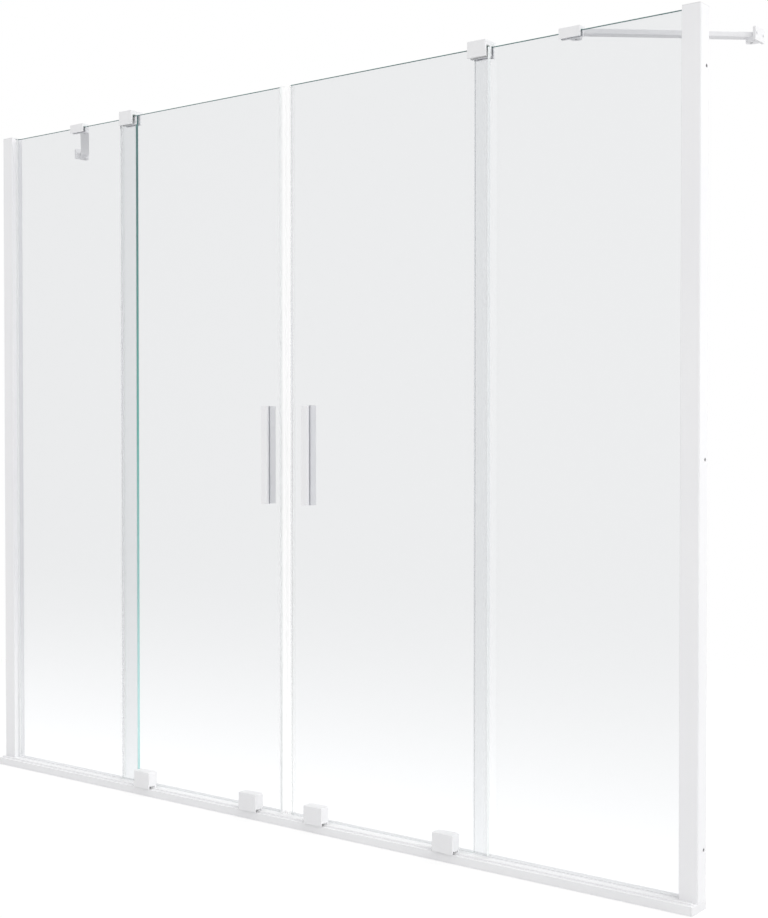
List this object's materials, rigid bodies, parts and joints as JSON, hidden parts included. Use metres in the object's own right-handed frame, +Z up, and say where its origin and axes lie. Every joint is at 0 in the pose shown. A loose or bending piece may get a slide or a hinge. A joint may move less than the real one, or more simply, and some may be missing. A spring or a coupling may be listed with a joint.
{
  "type": "sliding bath screen",
  "caption": "Glass bath screen for a niche: fixed side panes, sliding doors on grooved rollers that meet in the middle, a bottom rail, wall uprights, top guides and braces.",
  "frame": {"origin": "on the underside of the bottom rail, below the mid-plane of the fixed panes, half-way between the two walls", "axes": "+X along the bath to the right as seen from the room, +Y away from the room into the bath, +Z up"},
  "size_m": [1.8, 0.2882, 1.512],
  "materials": {
    "white_coat": "satin white powder coat on aluminium and zinc castings",
    "white_plastic": "fine matt moulded white plastic",
    "clear_glass": "polished clear toughened glass with a green cast at its edges",
    "clear_seal": "translucent soft plastic",
    "gasket": "pale grey soft rubber",
    "acetal": "smooth natural white low-friction plastic",
    "steel": "fine turned stainless steel"
  },
  "bodies": {
    "frame": {"bed_gasket_left": "gasket", "bed_gasket_right": "gasket", "bottom_rail": "white_coat", "brace_bar_left": "white_coat", "brace_bar_right": "white_coat", "brace_clip_left": "white_coat", "brace_clip_right": "white_coat", "brace_pivot_screws": "steel", "brace_wall_bracket_left": "white_coat", "brace_wall_bracket_right": "white_coat", "channel_infill_strip": "white_plastic", "clamp_set_screws": "steel", "fixed_pane_left": "clear_glass", "fixed_pane_right": "clear_glass", "glazing_gasket_left": "gasket", "glazing_gasket_right": "gasket", "guide_liner_left": "acetal", "guide_liner_right": "acetal", "pane_profile_left": "white_coat", "pane_profile_right": "white_coat", "profile_screws": "steel", "profile_top_caps": "white_plastic", "rail_end_cap_left": "white_plastic", "rail_end_cap_right": "white_plastic", "top_guide_left": "white_coat", "top_guide_right": "white_coat", "wall_channel_left": "white_coat", "wall_channel_right": "white_coat"},
    "left_door": {"centre_seal_left": "clear_seal", "clamp_plates_left": "white_coat", "door_pane_left": "clear_glass", "edge_seal_left": "clear_seal", "handle_screws_left": "steel", "inner_handle_left": "white_coat", "outer_handle_left": "white_coat", "roller_carrier_left_inner": "steel", "roller_carrier_left_outer": "steel", "roller_cover_left_inner": "white_coat", "roller_cover_left_outer": "white_coat", "roller_screws_left": "steel"},
    "right_door": {"centre_seal_right": "clear_seal", "clamp_plates_right": "white_coat", "door_pane_right": "clear_glass", "edge_seal_right": "clear_seal", "handle_screws_right": "steel", "inner_handle_right": "white_coat", "outer_handle_right": "white_coat", "roller_carrier_right_inner": "steel", "roller_carrier_right_outer": "steel", "roller_cover_right_inner": "white_coat", "roller_cover_right_outer": "white_coat", "roller_screws_right": "steel"},
    "left_inner_wheel": {"roller_bearing_left_inner": "steel", "roller_wheel_left_inner": "acetal"},
    "left_outer_wheel": {"roller_bearing_left_outer": "steel", "roller_wheel_left_outer": "acetal"},
    "right_inner_wheel": {"roller_bearing_right_inner": "steel", "roller_wheel_right_inner": "acetal"},
    "right_outer_wheel": {"roller_bearing_right_outer": "steel", "roller_wheel_right_outer": "acetal"}
  },
  "joints": [
    {"name": "left_door_slide", "type": "slide", "parent": "frame", "child": "left_door", "axis": [-1, 0, 0], "range_m": [0, 0.365]},
    {"name": "right_door_slide", "type": "slide", "parent": "frame", "child": "right_door", "axis": [1, 0, 0], "range_m": [0, 0.365]},
    {"name": "left_inner_wheel_spin", "type": "hinge", "parent": "left_door", "child": "left_inner_wheel", "pos_m": [-0.088, -0.028, 0.032], "axis": [0, -1, 0], "continuous": true},
    {"name": "left_outer_wheel_spin", "type": "hinge", "parent": "left_door", "child": "left_outer_wheel", "pos_m": [-0.402, -0.028, 0.032], "axis": [0, -1, 0], "continuous": true},
    {"name": "right_inner_wheel_spin", "type": "hinge", "parent": "right_door", "child": "right_inner_wheel", "pos_m": [0.088, -0.028, 0.032], "axis": [0, 1, 0], "continuous": true},
    {"name": "right_outer_wheel_spin", "type": "hinge", "parent": "right_door", "child": "right_outer_wheel", "pos_m": [0.402, -0.028, 0.032], "axis": [0, 1, 0], "continuous": true}
  ],
  "couplings": [
    {"joint": "left_inner_wheel_spin", "follows": "left_door_slide", "rad_per_m": 76.923},
    {"joint": "left_outer_wheel_spin", "follows": "left_door_slide", "rad_per_m": 76.923},
    {"joint": "right_inner_wheel_spin", "follows": "right_door_slide", "rad_per_m": 76.923},
    {"joint": "right_outer_wheel_spin", "follows": "right_door_slide", "rad_per_m": 76.923}
  ]
}
